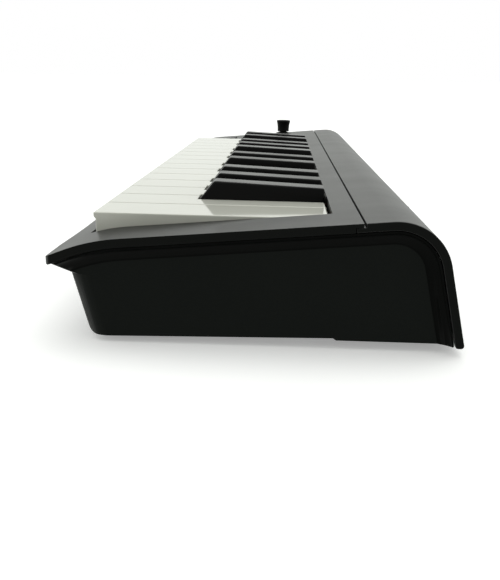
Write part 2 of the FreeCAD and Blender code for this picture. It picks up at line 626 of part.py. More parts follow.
cap = new_body("joystick_cap")
cap_top = d("cap_top")
cap_bottom = d("cap_bottom")
cap_outline = [
    Part.LineSegment(V(2.05, cap_bottom, 0), V(4.35, cap_bottom, 0)),
    Part.Arc(V(4.35, cap_bottom, 0), V(4.5, (cap_bottom + cap_top) / 2, 0), V(5.2, cap_top - 0.8, 0)),
    Part.Arc(V(5.2, cap_top - 0.8, 0), V(5.0, cap_top - 0.2, 0), V(4.4, cap_top, 0)),
    Part.LineSegment(V(4.4, cap_top, 0), V(3.5, cap_top - 0.5, 0)),
    Part.LineSegment(V(3.5, cap_top - 0.5, 0), V(0, cap_top - 0.5, 0)),
    Part.LineSegment(V(0, cap_top - 0.5, 0), V(0, 49.1, 0)),
    Part.LineSegment(V(0, 49.1, 0), V(2.05, 49.1, 0)),
    Part.LineSegment(V(2.05, 49.1, 0), V(2.05, cap_bottom, 0)),
]
turned_cap = cap.newObject("PartDesign::Revolution", "turned_cap")
cap_sketch = sketch(cap, "cap_sketch", "XZ_Plane", 0.0, cap_outline)
turned_cap.Profile = cap_sketch
turned_cap.ReferenceAxis = (cap_sketch, ["V_Axis"])
turned_cap.Angle = 360.0
cap.Placement = FreeCAD.Placement(V(sx, sy, 0), FreeCAD.Rotation())

group("joystick_pots", [
    box("pot_side", (sx + 17.0, sy - 5.0, sz - 5.0), (sx + 22.0, sy + 5.0, sz + 5.0)),
    box("pot_rear", (sx - 5.0, sy + 17.0, sz - 5.0), (sx + 5.0, sy + 22.0, sz + 5.0)),
])
shape_node("joystick_spring", coil(V(sx, sy, HOUSING_FLOOR + 0.45), 2.2, 0.4, 3, 3.9))

# ---------------------------------------------------------------- buttons
switches = []
lamps = []
for name, (x, y) in BUTTONS.items():
    cap_body = new_body(name)
    rear_height = top_height(y + d("button_depth") / 2) + d("button_proud")
    low_height = top_height(y - d("button_depth") / 2) + d("button_proud")
    pad(cap_body, "flange", "XY_Plane", 29.0, 1.2, button_outline(x, y, 1.2))
    pad(cap_body, "cap", "XY_Plane", 29.6, rear_height - 29.6, button_outline(x, y, 0))
    past = 1.5 * TOP_SLOPE
    above = [(y - 5, low_height - past), (y + 5, rear_height + past), (y + 5, 50), (y - 5, 50)]
    pocket(cap_body, "slope", "YZ_Plane", x - 12, 24.0, polygon(above))
    switches.append(box(name + "_switch", (x - 3, y - 3, SWITCH_BOARD_TOP), (x + 3, y + 3, 27.9)))
    lamps.append(box(name + "_lamp", (x + 5.5, y - 1, SWITCH_BOARD_TOP), (x + 7.5, y + 1, 26.0)))
group("tact_switches", switches)
group("button_lamps", lamps)
button_board = new_body("button_board")
pad(button_board, "board", "XY_Plane", SWITCH_BOARD_TOP - 1.6, 1.6, rectangle(-184.0, -37.5, -140.0, -12.5))

# ---------------------------------------------------------------- feet and screws
FEET_FRONT = [(-150.0, -42.0), (150.0, -42.0)]
FEET_REAR = [(-150.0, 38.0), (150.0, 38.0)]
feet = new_body("rubber_feet")
foot_top = 2.1
pad(feet, "front_feet", "XY_Plane", 0.0, foot_top,
    *[circle(x, y, d("foot_radius")) for x, y in FEET_FRONT])
pad(feet, "rear_feet", "XY_Plane", 0.0, 3.05, *[circle(x, y, d("foot_radius")) for x, y in FEET_REAR])


def screws(name, spots, low, head_radius, head_height, length):
    """Screws standing on their heads, driven upwards."""
    body = new_body(name)
    pad(body, "heads", "XY_Plane", low, head_height, *[circle(x, y, head_radius) for x, y in spots])
    pad(body, "shanks", "XY_Plane", low + head_height - 0.2, length,
        *[circle(x, y, 1.25) for x, y in spots])


def screws_down(name, sets, head_radius, radius):
    """Screws driven downwards. Each set has its places, the height of its seat and its length."""
    body = new_body(name)
    for number, (spots, seat, length) in enumerate(sets, start=1):
        heads = [circle(x, y, head_radius) for x, y in spots]
        shanks = [circle(x, y, radius) for x, y in spots]
        pad(body, "heads_%d" % number, "XY_Plane", seat, 1.2, *heads)
        pad(body, "shanks_%d" % number, "XY_Plane", seat - length, length + 0.2, *shanks)


screws("case_screws", ALL_POSTS, 7.0, 2.5, 1.9, 13.0)
screws_down("chassis_screws", [(CHASSIS_SCREWS, plate_top, 7.0)], 2.5, 1.25)
screws_down("board_screws", [(BOARD_POSTS, BOARD_BOTTOM + 1.6, 4.5), (BOARD_SEATS, 17.6, 4.5)], 2.0, 1.0)

# ---------------------------------------------------------------- checks and export
NODES = ["lower_case", "top_cover", "rear_cover", "key_chassis", "key_axle", "key_springs", "contact_board",
         "rubber_contact_strip", "lower_stop_felt", "upper_stop_felt", "main_board", "usb_socket",
         "board_ribbon_cable", "joystick_housing", "joystick_yoke", "joystick_stick", "joystick_cap",
         "joystick_pots", "joystick_spring", "button_board", "tact_switches", "button_lamps", "rubber_feet",
         "case_screws", "chassis_screws", "board_screws"]
NODES += list(BUTTONS)
NODES += ["white_key_%02d" % (i + 1) for i in range(WHITE_COUNT)]
NODES += ["black_key_%02d" % (i + 1) for i in range(len(black_centres))]
doc.recompute()
faults = []
for obj in doc.Objects:
    if any(word in state for state in obj.State for word in ("Invalid", "Error")):
        faults.append("%s: %s" % (obj.Name, obj.State))
for node in NODES:
    shape = doc.getObject(node).Shape
    if shape.isNull() or not shape.isValid() or not shape.Solids:
        faults.append("%s: bad shape" % node)
if faults:
    raise SystemExit("\n".join(faults))
for node in NODES:
    doc.getObject(node).Shape.exportStep("parts/%s.step" % node)
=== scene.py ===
import json
import math

import bpy
from mathutils import Matrix, Vector


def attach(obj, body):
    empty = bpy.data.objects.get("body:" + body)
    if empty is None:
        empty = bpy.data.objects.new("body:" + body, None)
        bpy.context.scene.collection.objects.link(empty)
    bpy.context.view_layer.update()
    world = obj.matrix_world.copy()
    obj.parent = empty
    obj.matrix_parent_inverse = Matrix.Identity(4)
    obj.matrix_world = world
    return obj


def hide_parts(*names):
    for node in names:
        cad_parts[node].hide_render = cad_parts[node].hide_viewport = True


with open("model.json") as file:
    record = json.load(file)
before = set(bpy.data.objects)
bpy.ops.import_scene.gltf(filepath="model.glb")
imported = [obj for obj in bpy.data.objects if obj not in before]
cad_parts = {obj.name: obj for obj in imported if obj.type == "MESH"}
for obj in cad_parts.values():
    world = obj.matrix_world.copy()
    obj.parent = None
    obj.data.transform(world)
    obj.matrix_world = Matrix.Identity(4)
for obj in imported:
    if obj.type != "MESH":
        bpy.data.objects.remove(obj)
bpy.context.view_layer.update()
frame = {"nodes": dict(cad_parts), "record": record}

MM = 0.001
CASE_END = 197.5        # half length of the covers
PANEL = 194.0           # recessed end panels
WALL = 2.8              # cover thickness
GAP = 0.3               # lower case to cover
TOP_SLOPE = 0.0915
TOP_POINT = (-43.2, 34.9)       # y and z of a point on the sloping top
FRONT_SLOPE = 0.385
FRONT_POINT = (-65.8, 28.6)     # y and z of a point on the front slope
WALL_LEAN = 0.239
WALL_POINT = (59.9, 28.3)       # y and z of a point on the rear wall
REAR_RADIUS = 17.5
FRONT_RADIUS = 62.0
LIP_Y = -65.75
SPLIT = 32.6
SLOT = (-128.5, 178.1, -55.9, 24.1)     # key slot: left, right, front, rear
KEY_TOP = 39.3
KEY_FRONT = -54.9
KEY_REAR = 23.1
PITCH = 20.36
KEY_GAP = 0.6
KEYS_RIGHT = 177.5
STICK = (-159.5, 7.5)   # the joystick's upright centre line
STICK_OPENING = 13.0
ABOVE = 60              # higher than anything on the case


# ------------------------------------------------------------------ modelling helpers
def deselect():
    """Leave edit mode with nothing selected."""
    if bpy.context.mode != "OBJECT":
        bpy.ops.object.mode_set(mode="OBJECT")
    bpy.ops.object.select_all(action="DESELECT")


def pick(obj):
    """Select one object and make it the active one."""
    deselect()
    obj.select_set(True)
    bpy.context.view_layer.objects.active = obj


def vec(point):
    """A place or a move in millimetres, turned into metres."""
    return Vector(point) * MM


def draw(name, points):
    """A flat face drawn corner by corner, given in millimetres."""
    deselect()
    bpy.ops.mesh.primitive_plane_add(size=MM, location=(0, 0, 0))
    obj = bpy.context.object
    obj.name = name
    bpy.ops.object.mode_set(mode="EDIT")
    bpy.ops.mesh.select_all(action="SELECT")
    bpy.ops.mesh.merge(type="CENTER")
    bpy.ops.transform.translate(value=vec(points[0]))
    for a, b in zip(points, points[1:]):
        bpy.ops.mesh.extrude_region_move(TRANSFORM_OT_translate={"value": vec(b) - vec(a)})
    bpy.ops.mesh.select_all(action="SELECT")
    bpy.ops.mesh.edge_face_add()
    return obj


def prism(name, points, along):
    """The drawn face pulled out by the vector."""
    obj = draw(name, points)
    bpy.ops.mesh.select_all(action="SELECT")
    bpy.ops.mesh.extrude_region_move(TRANSFORM_OT_translate={"value": vec(along)})
    bpy.ops.mesh.select_all(action="SELECT")
    bpy.ops.mesh.normals_make_consistent(inside=False)
    bpy.ops.object.mode_set(mode="OBJECT")
    return obj


def loft(name, loops):
    """A solid through several outlines with the same number of corners."""
    parts = []
    for number, loop in enumerate(loops):
        part = draw("%s_loop_%d" % (name, number), loop)
        if 0 < number < len(loops) - 1:
            bpy.ops.mesh.delete(type="ONLY_FACE")
        bpy.ops.object.mode_set(mode="OBJECT")
        parts.append(part)
    deselect()
    for part in parts:
        part.select_set(True)
    bpy.context.view_layer.objects.active = parts[0]
    bpy.ops.object.join()
    obj = bpy.context.object
    obj.name = name
    bpy.ops.object.mode_set(mode="EDIT")
    bpy.ops.mesh.select_mode(type="EDGE")
    bpy.ops.mesh.select_all(action="SELECT")
    bpy.ops.mesh.bridge_edge_loops()
    bpy.ops.mesh.select_mode(type="VERT")
    bpy.ops.mesh.select_all(action="SELECT")
    bpy.ops.mesh.normals_make_consistent(inside=False)
    bpy.ops.object.mode_set(mode="OBJECT")
    return obj


def combine(obj, tool, operation="DIFFERENCE"):
    """Cut the tool out of the object, or add it; the tool is used up."""
    modifier = obj.modifiers.new(operation.lower(), "BOOLEAN")
    modifier.operation = operation
    modifier.solver = "EXACT"
    modifier.object = tool
    pick(obj)
    bpy.ops.object.modifier_apply(modifier=modifier.name)
    bpy.data.objects.remove(tool)
    return obj


def soften(obj, width, segments=3, angle=32, smooth=38):
    """Round the edges, then keep the flat faces looking flat."""
    if width:
        modifier = obj.modifiers.new("edges", "BEVEL")
        modifier.width = width * MM
        modifier.segments = segments
        modifier.limit_method = "ANGLE"
        modifier.angle_limit = math.radians(angle)
        modifier.use_clamp_overlap = True
        pick(obj)
        bpy.ops.object.modifier_apply(modifier=modifier.name)
    pick(obj)
    bpy.ops.object.shade_smooth_by_angle(angle=math.radians(smooth))
    even = obj.modifiers.new("even_shading", "WEIGHTED_NORMAL")
    even.keep_sharp = True
    bpy.ops.object.modifier_apply(modifier=even.name)
    return obj


def merge_points(obj):
    """Close up the hair-thin faces that several cuts leave behind."""
    pick(obj)
    bpy.ops.object.mode_set(mode="EDIT")
    bpy.ops.mesh.select_all(action="SELECT")
    bpy.ops.mesh.remove_doubles(threshold=0.002 * MM)
    bpy.ops.mesh.dissolve_degenerate(threshold=0.002 * MM)
    bpy.ops.object.mode_set(mode="OBJECT")


def joined(pieces):
    """Several loose shapes made one object, so that one cut or one union takes them all."""
    deselect()
    for piece in pieces:
        piece.select_set(True)
    bpy.context.view_layer.objects.active = pieces[0]
    if len(pieces) > 1:
        bpy.ops.object.join()
    return bpy.context.object


def copied(source, name, shift):
    """A copy with its own mesh, moved sideways by the shift in millimetres."""
    pick(source)
    bpy.ops.object.duplicate(linked=False)
    obj = bpy.context.object
    obj.name = name
    bpy.ops.object.mode_set(mode="EDIT")
    bpy.ops.mesh.select_all(action="SELECT")
    bpy.ops.transform.translate(value=(shift * MM, 0, 0))
    bpy.ops.object.mode_set(mode="OBJECT")
    return obj


def block(name, low, high):
    """A box between two opposite corners, used as a tool."""
    deselect()
    centre = [(a + b) / 2 * MM for a, b in zip(low, high)]
    bpy.ops.mesh.primitive_cube_add(size=1, location=centre)
    obj = bpy.context.object
    obj.name = name
    obj.scale = [(b - a) * MM for a, b in zip(low, high)]
    bpy.ops.object.transform_apply(location=True, rotation=True, scale=True)
    return obj


def tube(name, centre, radius, height, vertices=64):
    """An upright rod about its centre, used as a tool."""
    deselect()
    bpy.ops.mesh.primitive_cylinder_add(radius=radius * MM, depth=height * MM, vertices=vertices,
                                        location=[c * MM for c in centre])
    obj = bpy.context.object
    obj.name = name
    bpy.ops.object.transform_apply(location=True, rotation=True, scale=True)
    return obj


def rods(places, radius, low, high):
    """Upright rods of one radius; high is a height or a rule that gives it from y."""
    made = []
    for x, y in places:
        top = high(y) if callable(high) else high
        made.append(tube("rod", (x, y, (low + top) / 2), radius, top - low, 32))
    return joined(made)


def turned(name, outline, x, y, steps=72):
    """A half section (radius, height) spun about the vertical line through x, y."""
    points = [(x + radius, y, height) for radius, height in outline]
    obj = draw(name, points)
    bpy.ops.mesh.select_all(action="SELECT")
    bpy.ops.mesh.delete(type="ONLY_FACE")
    bpy.ops.mesh.select_all(action="SELECT")
    bpy.ops.mesh.spin(steps=steps, angle=2 * math.pi, center=(x * MM, y * MM, 0), axis=(0, 0, 1))
    bpy.ops.mesh.select_all(action="SELECT")
    bpy.ops.mesh.remove_doubles(threshold=1e-6)
    bpy.ops.mesh.select_all(action="SELECT")
    bpy.ops.mesh.normals_make_consistent(inside=False)
    bpy.ops.object.mode_set(mode="OBJECT")
    return obj


def rounded(points, radii, steps=8):
    """Corners of an outline, each with a radius replaced by points on its arc."""
    done = []
    count = len(points)
    for i in range(count):
        here = Vector(points[i])
        before = (Vector(points[i - 1]) - here).normalized()
        after = (Vector(points[(i + 1) % count]) - here).normalized()
        radius = radii[i]
        if radius <= 0:
            done.append(tuple(here))
            continue
        half = before.angle(after) / 2
        centre = here + (before + after).normalized() * (radius / math.sin(half))
        start = here + before * (radius / math.tan(half)) - centre
        end = here + after * (radius / math.tan(half)) - centre
        turn = start.angle(end)
        for k in range(steps + 1):
            t = k / steps
            arm = (start * math.sin((1 - t) * turn) + end * math.sin(t * turn)) / math.sin(turn)
            done.append(tuple(centre + arm))
    return done


def at_x(x, outline):
    """A side outline (y, z) placed at x."""
    return [(x, y, z) for y, z in outline]


def at_z(z, outline):
    """A plan outline (x, y) placed at height z."""
    return [(x, y, z) for x, y in outline]


# ------------------------------------------------------------------ case section
def top_height(y):
    """Height of the case's sloping top."""
    return TOP_POINT[1] + TOP_SLOPE * (y - TOP_POINT[0])


def on_top(y, inset):
    """A point of the side outline on the top, or that far under it."""
    return (y, top_height(y) - inset * math.hypot(1, TOP_SLOPE))


def section(inset):
    """Corners of the cover's outer line moved inwards.

    They are the lip, the front bend, the rear bend and the foot line of the rear wall.
    """
    lift_front = inset * math.hypot(1, FRONT_SLOPE)
    lift_top = inset * math.hypot(1, TOP_SLOPE)
    lift_rear = inset * math.hypot(1, WALL_LEAN)
    front_z = FRONT_POINT[1] - lift_front
    top_z = TOP_POINT[1] - lift_top - TOP_SLOPE * TOP_POINT[0]      # where the top's line crosses y = 0
    bend_y = (top_z - front_z + FRONT_SLOPE * FRONT_POINT[0]) / (FRONT_SLOPE - TOP_SLOPE)
    foot_y = WALL_POINT[0] + WALL_LEAN * WALL_POINT[1] - lift_rear
    rear_y = (foot_y - WALL_LEAN * top_z) / (1 + WALL_LEAN * TOP_SLOPE)
    return ((LIP_Y, front_z), (bend_y, top_height(bend_y) - lift_top),
            (rear_y, top_height(rear_y) - lift_top), foot_y)


def rear_wall(z, inset):
    """A point of the side outline on the leaning rear wall, or that far inside it."""
    return (section(inset)[3] - WALL_LEAN * z, z)


# Screw posts under the covers, and the bosses in the floor that meet them.
SCREW_RADIUS = 1.3
SCREW_SEAT = 12.3
FRONT_POSTS = [(187.0, -40.0), (187.0, 14.0), (-188.0, -40.0), (-188.0, 26.0), (-136.8, -40.0)]
REAR_POSTS = [(-152.0, 50.5), (-60.0, 50.5), (40.0, 50.5), (150.0, 50.5)]
BUTTON_PEGS = [(-180.0, -25.5), (-143.0, -25.5), (-161.5, -15.5), (-161.5, -35.0)]
SWITCH_BOARD_TOP = 24.6
CHASSIS_SCREWS = [(x, y) for x in (-126.0, 25.0, 176.0) for y in (-42.0, 20.5)]
CHASSIS_BOTTOM = 12.0
BOARD_SCREWS = [(x, y) for x in (-180.0, -145.0) for y in (-48.0, 44.0)]
BOARD_BOTTOM = 9.0
BOSS_FOOT = 4.0
FLOOR = 2.2              # thickness of the lower case's floor
INNER_HALF = 191.4


def under_cover(y):
    """Top end of a post, buried in the front frame's plate."""
    return top_height(y) - 1.5


lip, bend, rear, _ = section(0)
lip_in, bend_in, rear_in, _ = section(WALL)

# ------------------------------------------------------------------ front frame
FRONT_EDGE = SPLIT - 0.35      # front frame's rear edge at the groove
REAR_EDGE = SPLIT + 0.35       # rear cover's front edge at the groove
LAP = 2.2                      # the frame lies this far over the rear cover's tongue
LAP_DEPTH = 1.3
LIP_STEP = 2.0                 # between its ends the lip steps back this much
CURVE_OUT = 187.5              # distance from the middle where the step starts
CURVE_IN = 162.5               # distance from the middle where it is complete
CURVE_RADIUS = 280.0
CORNER = 2.5


def lip_step(back):
    """What is taken off in front of the stepped-back lip, seen from above."""
    y_out = LIP_Y + back
    y_in = y_out + LIP_STEP
    return rounded([(-CURVE_OUT, -75.0), (CURVE_OUT, -75.0), (CURVE_OUT, y_out), (CURVE_IN, y_in),
                    (-CURVE_IN, y_in), (-CURVE_OUT, y_out)], [0, 0, 0, CURVE_RADIUS, CURVE_RADIUS, 0], 12)


def corner_outline(side, end_x, front_y, radius):
    """What is taken off outside a rounded front corner, seen from above."""
    arc = []
    for degrees in range(0, 91, 9):
        turn = math.radians(degrees)
        arc.append((end_x - radius + radius * math.sin(turn), front_y + radius - radius * math.cos(turn)))
    outline = [(end_x - radius, front_y - 3), (201, front_y - 3), (201, front_y + radius)] + arc[::-1]
    return [(side * x, y) for x, y in outline]


front_outline = rounded(
    [lip, bend, on_top(FRONT_EDGE, 0), on_top(FRONT_EDGE, LAP_DEPTH - 0.1),
     on_top(FRONT_EDGE - LAP - 0.2, LAP_DEPTH - 0.1), on_top(FRONT_EDGE - LAP - 0.2, WALL),
     bend_in, lip_in],
    [1.0, FRONT_RADIUS, 0, 0, 0, 0, FRONT_RADIUS - WALL, 0.9], 16)
cover = prism("front_frame", at_x(-CASE_END, front_outline), (2 * CASE_END, 0, 0))
combine(cover, prism("lip_tool", at_z(0, lip_step(0.0)), (0, 0, ABOVE)))
for side in (1, -1):
    outside = at_z(0, corner_outline(side, CASE_END, LIP_Y, CORNER))
    combine(cover, prism("corner_tool", outside, (0, 0, ABOVE)))
combine(cover, prism("slot_tool", at_z(20, rounded(
    [(SLOT[0], SLOT[2]), (SLOT[1], SLOT[2]), (SLOT[1], SLOT[3]), (SLOT[0], SLOT[3])], [0.8] * 4, 4)),
    (0, 0, 40)))
combine(cover, tube("stick_tool", (STICK[0], STICK[1], 40), STICK_OPENING, 30, 96))
BUTTONS = {
    "button_octave_down": (-174.0, -18.0),
    "button_octave_up": (-149.0, -18.0),
    "button_arpeggio": (-174.0, -33.0),
    "button_sustain": (-149.0, -33.0),
}


def button_outline(x, y, grow):
    """A panel button seen from above, made larger all round."""
    half_w, half_d = 9.0 + grow, 3.5 + grow
    return rounded([(x - half_w, y - half_d), (x + half_w, y - half_d), (x + half_w, y + half_d),
                    (x - half_w, y + half_d)], [1.5 + grow] * 4, 5)


for x, y in BUTTONS.values():
    combine(cover, prism("button_tool", at_z(20, button_outline(x, y, 0.35)), (0, 0, 40)))
soften(cover, 0.35)
combine(cover, rods(FRONT_POSTS, 3.0, SCREW_SEAT, under_cover), "UNION")
combine(cover, rods(BUTTON_PEGS, 1.9, SWITCH_BOARD_TOP, under_cover), "UNION")
combine(cover, rods(FRONT_POSTS, SCREW_RADIUS + 0.1, SCREW_SEAT - 1.0, SCREW_SEAT + 12.0))
soften(cover, 0)
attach(cover, "case")
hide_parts("top_cover")

# ------------------------------------------------------------------ rear cover
rear_outline = rounded(
    [on_top(REAR_EDGE, 0), rear, rear_wall(2.8, 0), rear_wall(2.8, WALL), rear_in,
     on_top(FRONT_EDGE - LAP, WALL), on_top(FRONT_EDGE - LAP, LAP_DEPTH), on_top(REAR_EDGE, LAP_DEPTH)],
    [0, REAR_RADIUS, 1.0, 1.0, REAR_RADIUS - WALL, 0, 0, 0], 24)
rear_cover = prism("rear_strip", at_x(-CASE_END, rear_outline), (2 * CASE_END, 0, 0))
USB = (-120.0, 15.0)           # x and z of the socket's opening
USB_HALF = (4.6, 2.6)
combine(rear_cover, prism("usb_tool", [(x, 50, z) for x, z in rounded(
    [(USB[0] - USB_HALF[0], USB[1] - USB_HALF[1]), (USB[0] + USB_HALF[0], USB[1] - USB_HALF[1]),
     (USB[0] + USB_HALF[0], USB[1] + USB_HALF[1]), (USB[0] - USB_HALF[0], USB[1] + USB_HALF[1])],
    [0.8] * 4, 4)], (0, 30, 0)))
soften(rear_cover, 0.35)
ledge = [(29.5, 37.3), (36.0, 37.3), (36.0, 40.0), (31.2, 40.0), (31.2, 38.3), (29.5, 38.3)]
combine(rear_cover, prism("ledge", at_x(-185.0, ledge), (370.0, 0, 0)), "UNION")
combine(rear_cover, rods(REAR_POSTS, 3.0, SCREW_SEAT, 39.2), "UNION")
combine(rear_cover, rods(REAR_POSTS, SCREW_RADIUS + 0.1, SCREW_SEAT - 1.0, SCREW_SEAT + 12.0))
soften(rear_cover, 0)
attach(rear_cover, "case")
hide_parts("rear_cover")

# ------------------------------------------------------------------ lower case
TUB_END = 197.0         # half length of the lower case at its flared ends
gap = WALL + GAP
lip_low, bend_low, rear_low, _ = section(gap)
tub_outline = rounded(
    [(-64.6, lip_low[1] + 0.45), bend_low, rear_low, rear_wall(3.2, gap), (26.0, 3.1), (25.0, 3.8),
     (-54.9, 2.0), (-60.3, 22.1)],
    [0, FRONT_RADIUS - gap, REAR_RADIUS - gap, 0.4, 0, 0, 5.0, 1.5], 16)
tub = prism("tub", at_x(-TUB_END, tub_outline), (2 * TUB_END, 0, 0))
combine(tub, prism("lip_tool", at_z(0, lip_step(1.2)), (0, 0, ABOVE)))


def panel_outline(inset):
    """Edge of the recessed end panel, moved in from the cover's line."""
    _, bend_end, rear_end, _ = section(gap + inset)
    front = (-80.0, bend_end[1] - FRONT_SLOPE * (bend_end[0] + 80.0))
    return rounded([(-80.0, -9.0), front, bend_end, rear_end, rear_wall(-9.0, gap + inset)],
                   [0, 0, FRONT_RADIUS - gap - inset, REAR_RADIUS - gap - inset, 0], 16)


for side in (1, -1):
    steps = 6
    loops = [at_x(side * (TUB_END + 1.5), panel_outline(0.6))]
    for k in range(steps + 1):
        t = k / steps
        inset = 0.6 + 4.0 * (1 - math.cos(t * math.pi / 2)) ** 0.8
        loops.append(at_x(side * (TUB_END - (TUB_END - PANEL) * t), panel_outline(inset)))
    combine(tub, loft("end_tool", loops))
    combine(tub, loft("corner_tool", [
        at_z(-2.0, corner_outline(side, PANEL, -53.8, 8.0)),
        at_z(22.1, corner_outline(side, PANEL, -60.3, 8.0)),
        at_z(26.6, corner_outline(side, 197.4, -65.7, 3.0))]))
soften(tub, 0.3)
inner_wall = gap + 2.2
combine(tub, prism("hollow_tool", at_x(-INNER_HALF, [
    (-58.0, 50.0), (-58.0, 23.0), (-54.2, 6.2), (-51.0, 2.2 + FLOOR), (25.0, 3.9 + FLOOR),
    rear_wall(6.0, inner_wall)[:1] + (3.9 + FLOOR,), rear_wall(12.0, inner_wall),
    (70.0, 12.0), (70.0, 50.0)]),
    (2 * INNER_HALF, 0, 0)))
case_posts = FRONT_POSTS + REAR_POSTS
combine(tub, rods(case_posts, 3.4, BOSS_FOOT, SCREW_SEAT - 0.3), "UNION")
combine(tub, rods(CHASSIS_SCREWS, 3.4, BOSS_FOOT, CHASSIS_BOTTOM), "UNION")
combine(tub, rods(BOARD_SCREWS, 2.8, BOSS_FOOT, BOARD_BOTTOM), "UNION")
combine(tub, rods(case_posts, SCREW_RADIUS + 0.2, -1.0, 20.0))
combine(tub, rods(case_posts, 2.7, -1.0, 9.0))
combine(tub, rods(CHASSIS_SCREWS, SCREW_RADIUS + 0.1, 6.0, 14.0))
combine(tub, rods(BOARD_SCREWS, 1.1, 5.5, 13.5))
merge_points(tub)
soften(tub, 0)
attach(tub, "case")
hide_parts("lower_case")

# ------------------------------------------------------------------ keys
UNDERSIDE = 28.3        # bottom of every key
TAIL_TOP = 36.2
TAIL_REAR = 41.1
TAIL_HALF = 4.0
NOSE = 0.7              # how far a white key's lip overhangs its front
NOSE_DEPTH = 1.6
NOTCH_Y = -23.82        # where the white keys narrow beside the black ones
BLACK_HALF = 5.38
NOTCH = BLACK_HALF + 0.82
KEY_WALL = 1.4
KEY_PLATE = 2.0           # thickness of a key's top
KEY_SKIRT = 11.0          # underside of a key to its top
PIVOT = (37.1, 33.3)       # axle, seen from the end
BORE = 1.56
ACTUATOR = (-5.0, -1.0)   # front and rear of the post under a key
ACTUATOR_HALF = 2.0
ACTUATOR_FOOT = 23.7
BLACK_FRONT = -23.0
BLACK_NOSE = -17.9        # where a black key's front slope meets its top
BLACK_NOSE_RISE = 6.6     # a black key's height over the white ones, at the nose and at the rear
BLACK_REAR_RISE = 4.9
BLACK_TOP_HALF = 4.525    # half width of its top, at the nose's height
BLACK_HOLLOW_FRONT = -20.8
BLACK_WALL = 1.6
octave = [1.857, 3.0, 4.143, 5.9, 7.1]      # black keys, in white keys from the right
black_centres = sorted(KEYS_RIGHT - (place + shift) * PITCH for place in octave for shift in (0, 7))
tail_line = [(TAIL_REAR, UNDERSIDE), (TAIL_REAR, TAIL_TOP), (KEY_REAR, TAIL_TOP)]
white_side = rounded([(KEY_FRONT + NOSE, UNDERSIDE)] + tail_line + [
    (KEY_REAR, KEY_TOP), (KEY_FRONT, KEY_TOP), (KEY_FRONT, KEY_TOP - NOSE_DEPTH),
    (KEY_FRONT + NOSE, KEY_TOP - NOSE_DEPTH - 0.5)], [0, 0, 2.5, 0, 0, 0, 0, 0], 5)
black_side = rounded([(BLACK_FRONT, UNDERSIDE)] + tail_line + [
    (KEY_REAR, KEY_TOP + BLACK_REAR_RISE), (BLACK_NOSE, KEY_TOP + BLACK_NOSE_RISE),
    (BLACK_FRONT, KEY_TOP)], [0, 0, 2.5, 0, 0, 0, 0], 5)


def open_underside(key, hollow, middle):
    """Hollow a key from below, with the post that presses its contact."""
    combine(key, prism("hollow_tool", at_z(UNDERSIDE - 1, hollow), (0, 0, KEY_SKIRT - KEY_PLATE + 1)))
    post = block("actuator", (middle - ACTUATOR_HALF, ACTUATOR[0], ACTUATOR_FOOT),
                 (middle + ACTUATOR_HALF, ACTUATOR[1], KEY_TOP - 1.0))
    combine(key, post, "UNION")
    return soften(key, 0)


def key_blank(name, side_line, left, right):
    """A key cut to its side outline and bored for the axle."""
    key = prism(name, at_x(left, side_line), (right - left, 0, 0))
    bore = [(PIVOT[0] + BORE * math.cos(math.radians(a)), PIVOT[1] + BORE * math.sin(math.radians(a)))
            for a in range(0, 360, 12)]
    return combine(key, prism("axle_tool", at_x(left - 1, bore), (right - left + 2, 0, 0)))


def trim_tail(key, left, right, middle):
    """Narrow the tail behind the key to its hinge width."""
    for edge, limit in ((middle - TAIL_HALF, left - 1), (middle + TAIL_HALF, right + 1)):
        low, high = sorted((edge, limit))
        combine(key, block("tail_tool", (low, KEY_REAR, 20), (high, 50, 60)))


def white_key(name, left, right):
    """One white key, notched where a black key stands beside it."""
    middle = (left + right) / 2
    blacks = [c for c in black_centres if left - NOTCH < c < right + NOTCH]
    rear_left = max([left] + [c + NOTCH for c in blacks if c < middle])
    rear_right = min([right] + [c - NOTCH for c in blacks if c > middle])
    key = key_blank(name, white_side, left, right)
    if rear_left > left:
        combine(key, block("notch_tool", (left - 1, NOTCH_Y, 20), (rear_left, 50, 60)))
    if rear_right < right:
        combine(key, block("notch_tool", (rear_right, NOTCH_Y, 20), (right + 1, 50, 60)))
    tail_middle = (rear_left + rear_right) / 2
    trim_tail(key, left, right, tail_middle)
    soften(key, 0.4, 4)
    w = KEY_WALL
    hollow = [(left + w, KEY_FRONT + NOSE + w), (right - w, KEY_FRONT + NOSE + w)]
    if rear_right < right:
        hollow += [(right - w, NOTCH_Y - w), (rear_right - w, NOTCH_Y - w)]
    hollow += [(rear_right - w, KEY_REAR - w), (rear_left + w, KEY_REAR - w)]
    if rear_left > left:
        hollow += [(rear_left + w, NOTCH_Y - w), (left + w, NOTCH_Y - w)]
    return open_underside(key, hollow, tail_middle)


white_pieces = {}
black_pieces = {}
for number in range(1, 8):
    left = KEYS_RIGHT - (16 - number) * PITCH + KEY_GAP / 2
    key = white_key("white_%02d" % number, left, left + PITCH - KEY_GAP)
    white_pieces[number] = key
    white_pieces[number + 7] = copied(key, "white_%02d" % (number + 7), 7 * PITCH)
white_pieces[15] = white_key("white_15", KEYS_RIGHT - PITCH + KEY_GAP / 2, KEYS_RIGHT)

